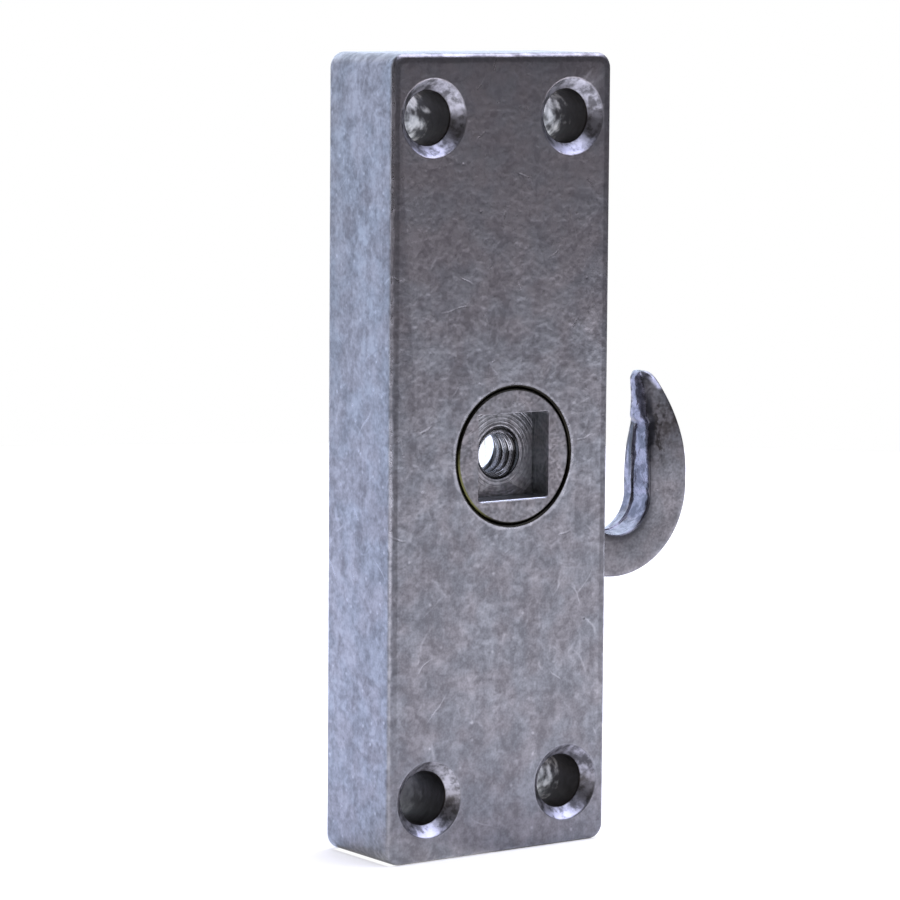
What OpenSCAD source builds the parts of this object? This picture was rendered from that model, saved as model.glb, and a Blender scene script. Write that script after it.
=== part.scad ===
// Sliding screen door latch with a swinging claw hook.
// Origin on the hub's axis at mid thickness, +X towards the hook's edge,
// +Y from the front face to the rear face, +Z along the case towards its top end.

/* [Case] */
// Length of the case
body_h = 76.2; // [68:0.1:90]
// Thickness of the case from front face to rear face
body_t = 10.5; // [10:0.1:13]
// Radius of the case's four upright corners
corner_r = 1.5; // [1:0.1:2.5]
// Rounding of the front face's edge
front_edge_r = 0.5; // [0.2:0.1:0.8]
// Rounding of the rear face's edge
rear_edge_r = 0.25; // [0.1:0.05:0.4]
// Wall of the case round its cavity
wall = 1.6; // [1.3:0.1:1.8]
// Room between the hook's eye and the wall on the hook's side
eye_room = 0.8; // [0.3:0.05:1]
// Room between the cam's highest point and the wall on the far side
cam_room = 1.43; // [1:0.01:2]
// Room between the withdrawn claw and the end of the cavity
claw_room = 0.45; // [0.3:0.05:1]
// Least height of the stop pad above the far wall
stop_proud = 0.5; // [0.3:0.05:0.8]

/* [Corner holes] */
// Distance of the corner holes from the sides of the case
hole_side = 4.7; // [4.3:0.05:5]
// Distance of the corner holes from the ends of the case
hole_end = 6; // [4.5:0.05:6.5]
// Diameter of the corner holes
hole_d = 5.1; // [4:0.1:5.4]
// Diameter of the countersinks at the front face
sink_d = 7.4; // [6:0.1:7.8]

/* [Cover plate] */
// Thickness of the cover plate
cover_t = 1.6; // [1.3:0.1:1.8]
// Ledge that the cover plate rests on round the cavity
ledge = 0.6; // [0.5:0.05:0.8]
// Distance of each cover screw from the end of the cavity
screw_inset = 3; // [2.6:0.1:3.4]
// Radius of the round tab at each end of the cover plate
tab_r = 3.3; // [3:0.1:3.5]
// Shank diameter of a cover screw
screw_d = 2.8; // [2.4:0.1:3]
// Head diameter of a cover screw
screw_head_d = 4.8; // [4.4:0.1:5]
// Length of a cover screw from its head's face to its end
screw_len = 6; // [5:0.5:7]

/* [Hub] */
// Diameter of the hub's round ends
hub_d = 12.9; // [12.6:0.1:13]
// Step from the hub's ends out to its keyed middle, which also keeps it in the case
key_step = 0.85; // [0.7:0.05:1]
// Width of the square sockets
socket_w = 8.2; // [7.8:0.1:8.4]
// Depth of the front socket
front_socket = 2.5; // [2.3:0.1:2.8]
// Depth of the rear socket
rear_socket = 3.8; // [3.4:0.1:4.4]
// Diameter of the threaded hole in the web, at the thread's root
thread_d = 4.83; // [4:0.01:5]
// Chamfer round the edges of the hub and of its bores
hub_chamfer = 0.12; // [0.05:0.01:0.2]

/* [Hook] */
// Thickness of the hook's arm and claw
hook_t = 4.6; // [4.2:0.1:4.7]
// Width of the throat between the case and the claw
throat_w = 7.35; // [7:0.05:7.6]
// Radius of the throat's round bottom
throat_r = 3.5; // [3.3:0.05:3.7]
// Depth of the throat circle's centre below the hub's axis
throat_drop = 5.25; // [5.1:0.05:5.4]
// Width of the claw at its widest
claw_w = 4.8; // [4.4:0.05:5]
// Radius of the claw's round back
back_r = 8.7; // [8.4:0.1:9]
// Depth of the back circle's centre below the hub's axis
back_drop = 4.4; // [4.2:0.1:4.7]
// Radius of the long curve from the back to the tip
brow_r = 15; // [14:0.5:16.5]
// Depth of that curve's centre below the hub's axis
brow_drop = 3.2; // [2.8:0.1:3.6]
// Height of the tip above the hub's axis
tip_top = 6.85; // [6.5:0.05:7.1]
// Radius of the tip
tip_r = 0.85; // [0.7:0.05:1]
// Thickness of the claw at its tip
tip_t = 3; // [2.4:0.1:3.4]
// Height above the hub's axis of the pad's lower end on the claw's inner face
pad_z = 1.9; // [1.5:0.1:2.4]
// Step of the pad out of the claw's inner face
pad_step = 0.3; // [0.2:0.05:0.5]
// Height of the ridge along the middle of the claw's inner face
parting_ridge = 0.12; // [0.05:0.01:0.2]
// Chamfer along the edges of the claw's inner face
inner_edge = 0.2; // [0.1:0.05:0.4]
// Chamfer along the edges of the claw's back
outer_edge = 0.35; // [0.2:0.05:0.5]
// Chamfer along the edges of the inner face at the tip
tip_edge = 0.75; // [0.5:0.05:0.9]
// Slope of the neck's upper edge, in degrees
neck_slope = 37; // [35:1:39]
// Wall of the hook's eye round the hub's keyed middle
eye_wall = 1.5; // [1.2:0.05:1.8]
// Step on each side from the hook's arm up to its eye
eye_step = 0.2; // [0.1:0.05:0.3]

/* [Cam and plunger] */
// Swing of the hook from latched to withdrawn, in degrees
swing = 85; // [80:1:86]
// Travel of the plunger over the whole swing
lift = 2; // [1.5:0.1:2.2]
// Width of the plunger
plunger_w = 6.8; // [6.4:0.1:7.2]
// Height of the plunger's body with its nose
plunger_h = 6; // [5.5:0.1:6.5]
// Radius of the plunger's nose
nose_r = 1.2; // [1:0.1:1.4]
// Diameter of the stem that the spring sits over
stem_d = 3.4; // [3:0.1:3.8]
// Length of the stem
stem_len = 3.5; // [2.5:0.5:4]
// Thickness of the plunger's guide ribs
rib_t = 1.4; // [1:0.1:1.6]

/* [Return spring] */
// Outer diameter of the coil spring
spring_d = 6; // [5.6:0.1:6.4]
// Diameter of the spring's wire
wire_d = 0.7; // [0.6:0.05:0.8]
// Number of turns
spring_turns = 6; // [5:1:6]

/* [Fits] */
// Gap all round the hub in its bores
hub_gap = 0.15; // [0.08:0.01:0.2]
// Gap between pieces that slide past each other
slide_gap = 0.15; // [0.1:0.05:0.2]
// Gap between the washers and the walls that they turn against
end_gap = 0.1; // [0.05:0.05:0.15]
// Gap between pieces that are fixed to each other
seat_gap = 0.05; // [0.03:0.01:0.08]
// Gap left where a moving piece comes up to its stop
stop_gap = 0.15; // [0.1:0.05:0.2]
// Room on each side of the hook in its slot
slot_gap = 0.3; // [0.2:0.05:0.4]

/* [Hidden] */

round_fn = 96;
hull_fn = 32;
zinc = [0.52, 0.52, 0.55];
zinc_worn = [0.60, 0.60, 0.63];
steel = [0.70, 0.71, 0.74];
// Depth by which a cut runs past the surface that it opens
past = 1;

// Thickness: the faces, the cavity and its middle
front_y = -body_t / 2;
rear_y = body_t / 2;
cavity_front = front_y + wall;
cavity_rear = rear_y - cover_t;
mid_y = (cavity_front + cavity_rear) / 2;

// Hub and the hook's eye, from the axis outwards
hub_r = hub_d / 2;
hub_bore_r = hub_r + hub_gap;
key_r = hub_r + key_step;
eye_r = key_r + eye_wall;
eye_t = hook_t + 2 * eye_step;
washer_in_r = key_r + end_gap;
washer_out_r = eye_r - end_gap;
washer_front = cavity_front + end_gap;
washer_rear = cavity_rear - end_gap;

// Case: the wall that the hook comes out of
cavity_right = eye_r + eye_room;
case_right = cavity_right + wall;

// Hook: circles that its outline is built on, as [x, z]
claw_in_x = case_right + throat_w;
claw_out_x = claw_in_x + claw_w;
throat_c = [claw_in_x - throat_r, -throat_drop];
back_c = [claw_out_x - back_r, -back_drop];
brow_c = [claw_out_x - brow_r, -brow_drop];
tip_a = asin((tip_top - tip_r + brow_drop) / (brow_r - tip_r));
tip_c = polar(brow_c, brow_r - tip_r, tip_a);

// Hook: its neck leaves the eye along a tangent below and a straight edge above
// and starts a little inside the eye's edge
neck_root = 0.2;
neck_low_a = atan2(back_c[1], back_c[0]) - acos((eye_r - back_r) / norm(back_c));
neck_top_a = -90 - neck_slope;
neck_root_r = eye_r - neck_root;
neck_low_start = polar([0, 0], neck_root_r, neck_low_a);
neck_top_end = polar(throat_c, throat_r, neck_top_a);
neck_top_line = [-cos(neck_slope), sin(neck_slope)];
neck_top_run = neck_line_reach(neck_top_end, neck_top_line, neck_root_r);
neck_top_start = neck_top_end + neck_top_run * neck_top_line;

// Slot that the hook swings through, from its stop to past the claw's furthest point,
// and the end of the cavity past that
slot_w = hook_t + 2 * slot_gap;
slot_top = neck_top_end[1] + (neck_top_end[0] - cavity_right) * tan(neck_slope) + stop_gap;
claw_reach = norm(back_c) + back_r;
slot_low = -sqrt(pow(claw_reach, 2) - pow(cavity_right, 2)) - stop_gap;
cavity_reach = claw_reach + claw_room;
// Back circle's centre when the hook is withdrawn, which the stop pad waits for
back_withdrawn = turned(back_c, -swing);
stop_x = back_withdrawn[0] - back_r - stop_gap;
stop_half = 2;

// Claw: its loft's steps round the neck, the bend, the rise to the tip and the tip
neck_steps = 4;
bend_steps = 18;
rise_steps = 16;
cap_steps = 4;
// Share of the tip's half circle that the last station closes to
cap_close = 0.85;
// Share of its thickness that the tip loses on the way there
cap_thinning = 0.45;
// Height at which the claw's inner face starts to lean out below the pad
lean_z = -1.5;
// Most that the ridge and each chamfer may take of the claw's width
ridge_share = 0.1;
chamfer_share = 0.35;
// Share of the back's chamfer that is rounded off where it meets the back
edge_soft = 0.3;

// Cam flank on the eye: an Archimedean rise, counted from the top of the eye, that
// starts a little inside the eye's edge
cam_foot = 0.1;
cam_start = -10;
cam_end = swing + 10;
cam_step = 5;
cam_rise = lift / swing;
// Room between the cam's highest point and the foot of the plunger's channel
channel_room = 1;

// Case: its far wall clears the cam and holds the stop pad, and its ends hold the screws
cam_top = cam_r(cam_end);
cavity_left = -max(cam_top + cam_room, stop_proud - stop_x);
case_left = cavity_left - wall;
case_mid_x = (case_left + case_right) / 2;
case_end_z = body_h / 2;
// Radius of the cavity's corners
cavity_r = 1.5;
cover_left = cavity_left - ledge;
cover_right = cavity_right + ledge;
cover_reach = cavity_reach + ledge;
cover_r = cavity_r + ledge;
cover_screw_z = cavity_reach + screw_inset;
tapped_d = screw_d + 2 * seat_gap;
head_depth = (screw_head_d - screw_d) / 2;

// Plunger, its channel and the spring above it
nose_z = cam_r(0) + slide_gap;
shoulder_z = nose_z + plunger_h;
// Height over which the plunger widens from its nose to its body
shoulder_drop = 1.6;
channel_x = plunger_w / 2 + slide_gap;
channel_foot = cam_top + channel_room;
plunger_front = cavity_front + slide_gap;
plunger_rear = cavity_rear - slide_gap;
spring_low = shoulder_z + seat_gap;
spring_top = cavity_reach - seat_gap;
spring_rise = spring_top - spring_low - wire_d;
turn_rings = 12;
wire_sides = 6;

function polar(centre, r, a) = [centre[0] + r * cos(a), centre[1] + r * sin(a)];
function turned(p, a) = [p[0] * cos(a) - p[1] * sin(a), p[0] * sin(a) + p[1] * cos(a)];
function blend(a, b, t) = a + (b - a) * t;
function ease(t) = t * t * (3 - 2 * t);
function cam_r(a) = eye_r - cam_foot + cam_rise * (a - cam_start);
// Distance along a line, from a point outside a circle on the origin, to the circle
function neck_line_reach(p, d, r) = -(p * d) - sqrt(pow(p * d, 2) - (p * p - r * r));

// Shared shapes

// A flat outline drawn in X and Z, made solid from y0 back to y1
module slab(y0, y1) {
    translate([0, y1, 0])
        rotate([90, 0, 0])
            linear_extrude(y1 - y0) children();
}

// A round bar or cut along Y, from y0 to y1, with a radius for each end
module round_y(x, z, y0, y1, r0, r1) {
    translate([x, y0, z])
        rotate([-90, 0, 0])
            cylinder(h = y1 - y0, r1 = r0, r2 = r1, $fn = round_fn);
}

// A rectangle from one corner to the other with round corners
module round_rect(x0, z0, x1, z1, r) {
    translate([x0 + r, z0]) square([x1 - x0 - 2 * r, z1 - z0]);
    translate([x0, z0 + r]) square([x1 - x0, z1 - z0 - 2 * r]);
    for (x = [x0 + r, x1 - r], z = [z0 + r, z1 - r])
        translate([x, z]) circle(r, $fn = round_fn);
}

// Places its children at the four corner holes
module at_corner_holes() {
    for (x = [case_left + hole_side, case_right - hole_side])
        for (z = [hole_end - case_end_z, case_end_z - hole_end])
            translate([x, 0, z]) children();
}

// Places its children at the two cover screws
module at_cover_screws() {
    for (sz = [-1, 1])
        translate([case_mid_x, 0, sz * cover_screw_z]) children();
}

// Case

// One upright corner of the casting, with its front and rear ends rounded
module corner_column() {
    front_arc = [for (a = [0:15:90])
        [corner_r - front_edge_r + front_edge_r * sin(a), front_edge_r - front_edge_r * cos(a)]];
    rear_arc = [for (a = [0:30:90])
        [corner_r - rear_edge_r + rear_edge_r * cos(a), body_t - rear_edge_r + rear_edge_r * sin(a)]];
    rotate([-90, 0, 0])
        rotate_extrude($fn = hull_fn)
            polygon(concat([[0, 0]], front_arc, rear_arc, [[0, body_t]]));
}

module case_block() {
    hull()
        for (x = [case_left + corner_r, case_right - corner_r])
            for (z = [-case_end_z + corner_r, case_end_z - corner_r])
                translate([x, front_y, z]) corner_column();
}

module cavity_outline() {
    round_rect(cavity_left, -cavity_reach, cavity_right, cavity_reach, cavity_r);
}

// The cover's outline, grown by a gap for the rebate that it drops into
module cover_outline(gap) {
    round_rect(cover_left - gap, -cover_reach - gap, cover_right + gap, cover_reach + gap,
               cover_r + gap);
    for (sz = [-1, 1])
        translate([case_mid_x, sz * cover_screw_z]) circle(tab_r + gap, $fn = round_fn);
    translate([case_mid_x - tab_r - gap, -cover_screw_z])
        square([2 * (tab_r + gap), 2 * cover_screw_z]);
}

// Countersunk hole right through the case, with its mouth in the front face
module corner_hole() {
    sink_depth = (sink_d - hole_d) / 2;
    round_y(0, 0, front_y - past, rear_y + past, hole_d / 2, hole_d / 2);
    round_y(0, 0, front_y - past, front_y + sink_depth, sink_d / 2 + past, hole_d / 2);
}

// Channel walls that the plunger slides between
module guide_ribs() {
    for (side = [-1, 1])
        translate([side * (channel_x + rib_t / 2) - rib_t / 2, cavity_front - seat_gap, channel_foot])
            cube([rib_t, cavity_rear - cavity_front, cavity_reach - channel_foot + seat_gap]);
}

// Pad on the far wall that the claw's back comes up to when it is withdrawn
module stop_pad() {
    translate([cavity_left - seat_gap, cavity_front - seat_gap, back_withdrawn[1] - stop_half])
        cube([stop_x - cavity_left + seat_gap, cavity_rear - cavity_front, 2 * stop_half]);
}

module case() {
    color(zinc) {
        difference() {
            case_block();
            slab(cavity_front, cavity_rear + past) cavity_outline();
            slab(cavity_rear, rear_y + past) cover_outline(slide_gap);
            round_y(0, 0, front_y - past, cavity_front + past, hub_bore_r, hub_bore_r);
            round_y(0, 0, front_y - past, front_y + hub_chamfer,
                    hub_bore_r + past + hub_chamfer, hub_bore_r);
            at_corner_holes() corner_hole();
            at_cover_screws()
                round_y(0, 0, rear_y - screw_len - seat_gap, rear_y, tapped_d / 2, tapped_d / 2);
            translate([cavity_right - past, -slot_w / 2, slot_low])
                cube([wall + 2 * past, slot_w, slot_top - slot_low]);
        }
        guide_ribs();
        stop_pad();
    }
}

// Cover

module cover_plate() {
    color(zinc)
        difference() {
            slab(cavity_rear, rear_y) cover_outline(0);
            round_y(0, 0, cavity_rear - past, rear_y + past, hub_bore_r, hub_bore_r);
            round_y(0, 0, rear_y - hub_chamfer, rear_y + past,
                    hub_bore_r, hub_bore_r + past + hub_chamfer);
            at_cover_screws() {
                round_y(0, 0, cavity_rear - past, rear_y + past, tapped_d / 2, tapped_d / 2);
                round_y(0, 0, rear_y - head_depth, rear_y + past,
                        tapped_d / 2, tapped_d / 2 + head_depth + past);
            }
        }
}

module cover_screws() {
    color(steel)
        at_cover_screws() {
            round_y(0, 0, rear_y - screw_len, rear_y, screw_d / 2, screw_d / 2);
            round_y(0, 0, rear_y - head_depth, rear_y, screw_d / 2, screw_head_d / 2);
        }
}

// Hub

// The keyed middle: a disc with two flats, grown by a gap for the hook's eye
module key_outline(gap) {
    intersection() {
        circle(key_r + gap, $fn = round_fn);
        translate([-hub_r - gap, -2 * key_r])
            square([2 * (hub_r + gap), 4 * key_r]);
    }
}

// A square socket between two depths
module socket(y0, y1) {
    translate([-socket_w / 2, y0, -socket_w / 2])
        cube([socket_w, y1 - y0, socket_w]);
}

module hub() {
    color(zinc_worn)
        difference() {
            union() {
                round_y(0, 0, front_y, front_y + hub_chamfer, hub_r - hub_chamfer, hub_r);
                round_y(0, 0, front_y + hub_chamfer, rear_y - hub_chamfer, hub_r, hub_r);
                round_y(0, 0, rear_y - hub_chamfer, rear_y, hub_r, hub_r - hub_chamfer);
                slab(washer_front, washer_rear) key_outline(0);
            }
            socket(front_y - past, front_y + front_socket);
            socket(rear_y - rear_socket, rear_y + past);
            round_y(0, 0, front_y, rear_y, thread_d / 2, thread_d / 2);
        }
}

module washer(y0, y1) {
    color(steel)
        slab(y0, y1)
            difference() {
                circle(washer_out_r, $fn = round_fn);
                circle(washer_in_r, $fn = round_fn);
            }
}

module front_washer() {
    washer(washer_front, mid_y - eye_t / 2);
}

module rear_washer() {
    washer(mid_y + eye_t / 2, washer_rear);
}

// Hook

// The claw is a loft. Each station is [outer point, inner point, half thickness,
// chamfer along the inner face], from the neck to the tip.

// Inner face of the upright claw: it leans out, steps back in at the pad, and runs to the tip
function claw_lean(z) = pad_step * ease(min(1, max(0, (z - lean_z) / (pad_z - lean_z))));
function pad_rise(z) = pad_step * ease(min(1, max(0, (z - pad_z + pad_step) / (2 * pad_step))));
function pad_run(z) = (z - pad_z) / (tip_c[1] - pad_z);
function claw_inner_x(z) = z < pad_z
    ? claw_in_x + claw_lean(z) - pad_rise(z)
    : blend(claw_in_x + pad_step - pad_rise(z), tip_c[0] - tip_r, pow(max(0, pad_run(z)), 2));
// How far the claw has thinned towards its tip, from 0 to 1
function thinning(z) = ease(min(1, max(0, (z + back_drop) / (tip_top + back_drop))));
function half_thick(z) = blend(hook_t, tip_t, thinning(z)) / 2;
function inner_chamfer(z) = blend(inner_edge, tip_edge, thinning(z));

neck_stations = [for (i = [0:neck_steps - 1]) let (t = i / neck_steps)
    [blend(neck_low_start, polar(back_c, back_r, neck_low_a), t),
     blend(neck_top_start, neck_top_end, t), hook_t / 2, inner_edge]];
bend_stations = [for (i = [0:bend_steps]) let (t = i / bend_steps)
    [polar(back_c, back_r, neck_low_a * (1 - t)),
     polar(throat_c, throat_r, neck_top_a * (1 - t)), hook_t / 2, inner_edge]];
rise_stations = [for (i = [1:rise_steps]) let (
        t = i / rise_steps,
        z = blend(-throat_drop, tip_c[1], t),
        outer = polar(brow_c, brow_r, tip_a * t))
    [outer, [claw_inner_x(z), z], half_thick(z), inner_chamfer(z)]];
cap_stations = [for (i = [1:cap_steps]) let (
        a = cap_close * (180 - tip_a) / 2 * i / cap_steps,
        z = tip_c[1] + tip_r * sin(tip_a + a))
    [polar(tip_c, tip_r, tip_a + a), polar(tip_c, tip_r, 180 - a),
     half_thick(tip_top) * (1 - cap_thinning * pow(i / cap_steps, 2)), inner_chamfer(z)]];
stations = concat(neck_stations, bend_stations, rise_stations, cap_stations);

// One closed ring of the loft, with a ridge on its inner face and softened outer edges
function claw_ring(s) = let (
        w = norm(s[0] - s[1]),
        dir = (s[0] - s[1]) / w,
        h = s[2],
        ridge = min(parting_ridge, ridge_share * w),
        c = min(s[3], chamfer_share * w),
        e = min(outer_edge, chamfer_share * w),
        soft = edge_soft * e,
        half = [[ridge, h - c], [ridge + c, h], [w - e, h], [w - soft, h - soft], [w, h - e]],
        other = [for (i = [4:-1:0]) [half[i][0], -half[i][1]]])
    [for (p = concat([[0, 0]], half, other))
        [s[1][0] + dir[0] * p[0], mid_y + p[1], s[1][1] + dir[1] * p[0]]];

module claw() {
    rings = [for (s = stations) claw_ring(s)];
    sides = len(rings[0]);
    last = len(rings) - 1;
    points = [for (ring = rings, p = ring) p];
    walls = [for (i = [0:last - 1], j = [0:sides - 1])
        let (a = i * sides + j,
             b = i * sides + (j + 1) % sides,
             c = a + sides,
             d = b + sides)
        each [[a, b, c], [b, d, c]]];
    root = [for (j = [1:sides - 2]) [0, j + 1, j]];
    tip = [for (j = [1:sides - 2]) [last * sides, last * sides + j, last * sides + j + 1]];
    polyhedron(points = points, faces = concat(walls, root, tip), convexity = 6);
}

// The eye's outline: a round ring with the cam flank on its upper left
module eye_outline() {
    flank = [for (a = [cam_start:cam_step:cam_end]) polar([0, 0], cam_r(a), 90 + a)];
    circle(eye_r, $fn = round_fn);
    polygon(concat([[0, 0]], flank));
}

module hook() {
    color(zinc_worn)
        difference() {
            union() {
                slab(mid_y - eye_t / 2, mid_y + eye_t / 2) eye_outline();
                claw();
            }
            slab(mid_y - eye_t, mid_y + eye_t) key_outline(seat_gap);
        }
}

// Plunger and spring

module plunger_outline() {
    translate([0, nose_z + nose_r]) circle(nose_r, $fn = round_fn);
    polygon([
        [-nose_r, nose_z + nose_r],
        [nose_r, nose_z + nose_r],
        [plunger_w / 2, nose_z + nose_r + shoulder_drop],
        [plunger_w / 2, shoulder_z],
        [-plunger_w / 2, shoulder_z],
        [-plunger_w / 2, nose_z + nose_r + shoulder_drop]
    ]);
}

module plunger() {
    color(steel) {
        slab(plunger_front, plunger_rear) plunger_outline();
        translate([0, mid_y, shoulder_z - seat_gap])
            cylinder(h = stem_len + seat_gap, d = stem_d, $fn = round_fn);
    }
}

module return_spring() {
    coil_r = (spring_d - wire_d) / 2;
    last = spring_turns * turn_rings;
    rings = [for (i = [0:last])
        let (turn = 360 * i / turn_rings, z = spring_low + wire_d / 2 + spring_rise * i / last)
        [for (j = [0:wire_sides - 1])
            let (a = 360 * j / wire_sides, r = coil_r + wire_d / 2 * cos(a))
            [r * cos(turn), mid_y + r * sin(turn), z + wire_d / 2 * sin(a)]]];
    points = [for (ring = rings, p = ring) p];
    walls = [for (i = [0:last - 1], j = [0:wire_sides - 1])
        let (a = i * wire_sides + j,
             b = i * wire_sides + (j + 1) % wire_sides,
             c = a + wire_sides,
             d = b + wire_sides)
        each [[a, b, c], [b, d, c]]];
    low_end = [for (j = [1:wire_sides - 2]) [0, j + 1, j]];
    top_end = [for (j = [1:wire_sides - 2])
        [last * wire_sides, last * wire_sides + j, last * wire_sides + j + 1]];
    color(steel)
        polyhedron(points = points, faces = concat(walls, low_end, top_end), convexity = 8);
}

case();
cover_plate();
cover_screws();
hub();
hook();
front_washer();
rear_washer();
plunger();
return_spring();
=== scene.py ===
# Sliding screen door latch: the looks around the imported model.
# Lengths are in millimetres and are turned into metres where meshes and finishes are made.

import math

import bpy
import bmesh
from mathutils import Matrix, Vector


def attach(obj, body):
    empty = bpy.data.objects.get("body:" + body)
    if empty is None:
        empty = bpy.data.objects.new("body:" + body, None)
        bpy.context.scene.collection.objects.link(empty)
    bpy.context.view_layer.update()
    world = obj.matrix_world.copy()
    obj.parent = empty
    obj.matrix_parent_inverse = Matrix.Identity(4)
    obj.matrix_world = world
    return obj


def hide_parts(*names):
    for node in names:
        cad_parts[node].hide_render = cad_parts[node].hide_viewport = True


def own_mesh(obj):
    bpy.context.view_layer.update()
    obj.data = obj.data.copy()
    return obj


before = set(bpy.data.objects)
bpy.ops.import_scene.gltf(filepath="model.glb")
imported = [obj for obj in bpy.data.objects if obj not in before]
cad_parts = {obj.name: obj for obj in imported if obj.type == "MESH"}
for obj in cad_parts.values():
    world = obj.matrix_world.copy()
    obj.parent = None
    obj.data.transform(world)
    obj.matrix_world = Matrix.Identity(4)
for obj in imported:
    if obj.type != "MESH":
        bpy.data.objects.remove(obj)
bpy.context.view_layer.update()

MM = 0.001

# Case, from the part's source
CASE_LEFT, CASE_RIGHT = -14.2006, 11.2
CASE_MID = (CASE_LEFT + CASE_RIGHT) / 2
HALF_W = (CASE_RIGHT - CASE_LEFT) / 2
HALF_T = 5.25
HALF_H = 38.1
FRONT, REAR = -HALF_T, HALF_T
HOLE_SIDE, HOLE_END = 4.7, 6.0
HOLE_X, HOLE_Z = HALF_W - HOLE_SIDE, HALF_H - HOLE_END
HOLE_R, SINK_R = 2.55, 3.7
BORE_R = 6.6
FACE_CORNER_R = 1.6

# Hub
HUB_R = 6.45
HALF_SOCKET = 8.2 / 2
SOCKET_FLOOR = FRONT + 2.5
SOCKET_CEILING = REAR - 3.8
THREAD_R = 2.415
THREAD_PITCH = 1.058
THREAD_DEPTH = 0.46

# Cover screws
SCREW_Z = 27.4464
SCREW_LENGTH = 6.0
SCREW_HEAD_R, SCREW_HEAD_DEPTH = 2.38, 1.0
SCREW_CORE_R = 1.12
SCREW_CREST = 0.27
SCREW_PITCH = 0.7
RECESS_WIDTH = 0.62

# Return spring
SPRING_LOW, SPRING_TOP = 15.0, 24.3964
SPRING_R, WIRE_R = 2.65, 0.35
SPRING_TURNS = 6
PLUNGER_TRAVEL = 2.0

# Hook
HOOK_SWING = 85
EYE_R, EYE_HALF_T, EYE_CHAMFER, EYE_POINTS = 8.8, 2.5, 0.15, 240
KEY_R, KEY_FLAT = 7.35, 6.5
CAM_START, CAM_END, CAM_LOW = -10, 95, 0.1
CLAW_HALF_T, TIP_T = 2.3, 3.4
THROAT_R, THROAT_DROP = 3.5, 5.25
CLAW_IN, CLAW_OUT = 18.55, 23.35
BACK_R, BACK_DROP = 8.7, 4.4
BROW_R, BROW_DROP = 15.0, 3.2
TIP_TOP, TIP_R = 6.85, 0.85
PAD_Z, PAD_STEP = 1.9, 0.3
NECK_SLOPE = math.radians(37)


# Node trees: a node's outputs are values, and sums written with them become nodes

class Value:
    def __init__(self, socket):
        self.socket = socket
        self.tree = socket.id_data

    def __add__(self, other):
        return calc("ADD", self, other)

    def __sub__(self, other):
        return calc("SUBTRACT", self, other)

    def __rsub__(self, other):
        return calc("SUBTRACT", other, self)

    def __mul__(self, other):
        return calc("MULTIPLY", self, other)

    def __truediv__(self, other):
        return calc("DIVIDE", self, other)

    def __rtruediv__(self, other):
        return calc("DIVIDE", other, self)

    def __abs__(self):
        return calc("ABSOLUTE", self)


class Placed:
    """A node, with its outputs as values."""

    def __init__(self, node):
        self.node = node
        self.inputs = node.inputs

    def __getitem__(self, output):
        return Value(self.node.outputs[output])


def feed(socket, value):
    """Links a value to a socket, or sets the socket to a plain number or colour."""
    if isinstance(value, Value):
        value.tree.links.new(value.socket, socket)
    elif socket.type == "RGBA":
        socket.default_value = (*value, 1.0)
    else:
        socket.default_value = value


def place(tree, kind, inputs=None, **settings):
    node = tree.nodes.new(kind)
    for name, value in settings.items():
        setattr(node, name, value)
    for key, value in (inputs or {}).items():
        feed(node.inputs[key], value)
    return Placed(node)


def tree_of(*values):
    return next(value.tree for value in values if isinstance(value, Value))


def calc(operation, *values):
    inputs = dict(enumerate(values))
    return place(tree_of(*values), "ShaderNodeMath", inputs, operation=operation)[0]


def larger(a, b):
    return calc("MAXIMUM", a, b)


def smaller(a, b):
    return calc("MINIMUM", a, b)


def less_than(a, b):
    return calc("LESS_THAN", a, b)


def vector_calc(operation, *vectors, output=0):
    inputs = dict(enumerate(vectors))
    return place(tree_of(*vectors), "ShaderNodeVectorMath", inputs, operation=operation)[output]


def dot(a, b):
    return vector_calc("DOT_PRODUCT", a, b, output=1)


def scaled(vector, by):
    inputs = {"Vector": vector, "Scale": by}
    return place(vector.tree, "ShaderNodeVectorMath", inputs, operation="SCALE")[0]


def xyz(tree, x, y, z):
    return place(tree, "ShaderNodeCombineXYZ", {"X": x, "Y": y, "Z": z})[0]


def fade(value, low, high, start=0.0, end=1.0):
    """Smooth step from start at low to end at high."""
    return place(value.tree, "ShaderNodeMapRange",
                 {"Value": value, "From Min": low, "From Max": high,
                  "To Min": start, "To Max": end},
                 interpolation_type="SMOOTHSTEP")["Result"]


def rise(length, low, high, start=0.0, end=1.0):
    """Smooth step of a length in metres between two given in millimetres."""
    return fade(length, low * MM, high * MM, start, end)


def fall(length, low, high, start=1.0, end=0.0):
    return rise(length, low, high, start, end)


def mix_colours(share, a, b, blend="MIX"):
    return place(tree_of(share, a, b), "ShaderNodeMix", {0: share, 6: a, 7: b},
                 data_type="RGBA", blend_type=blend)[2]


def tinted(colour, tint):
    return mix_colours(1.0, colour, tint, "MULTIPLY")


def mix_numbers(share, a, b):
    return place(tree_of(share, a, b), "ShaderNodeMix", {0: share, 2: a, 3: b},
                 data_type="FLOAT")[0]


def object_spot(tree):
    return place(tree, "ShaderNodeTexCoord")["Object"]


def noise(spot, output="Fac", **inputs):
    return place(spot.tree, "ShaderNodeTexNoise", {"Vector": spot, **inputs})[output]


def shader_group(name, inputs, outputs):
    """An empty shader node group, with its inputs as values and its outputs to feed."""
    group = bpy.data.node_groups.new(name, "ShaderNodeTree")
    for side, labels in (("INPUT", inputs), ("OUTPUT", outputs)):
        for label in labels:
            group.interface.new_socket(label, in_out=side, socket_type="NodeSocketFloat")
    return group, place(group, "NodeGroupInput"), place(group, "NodeGroupOutput").inputs


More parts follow.
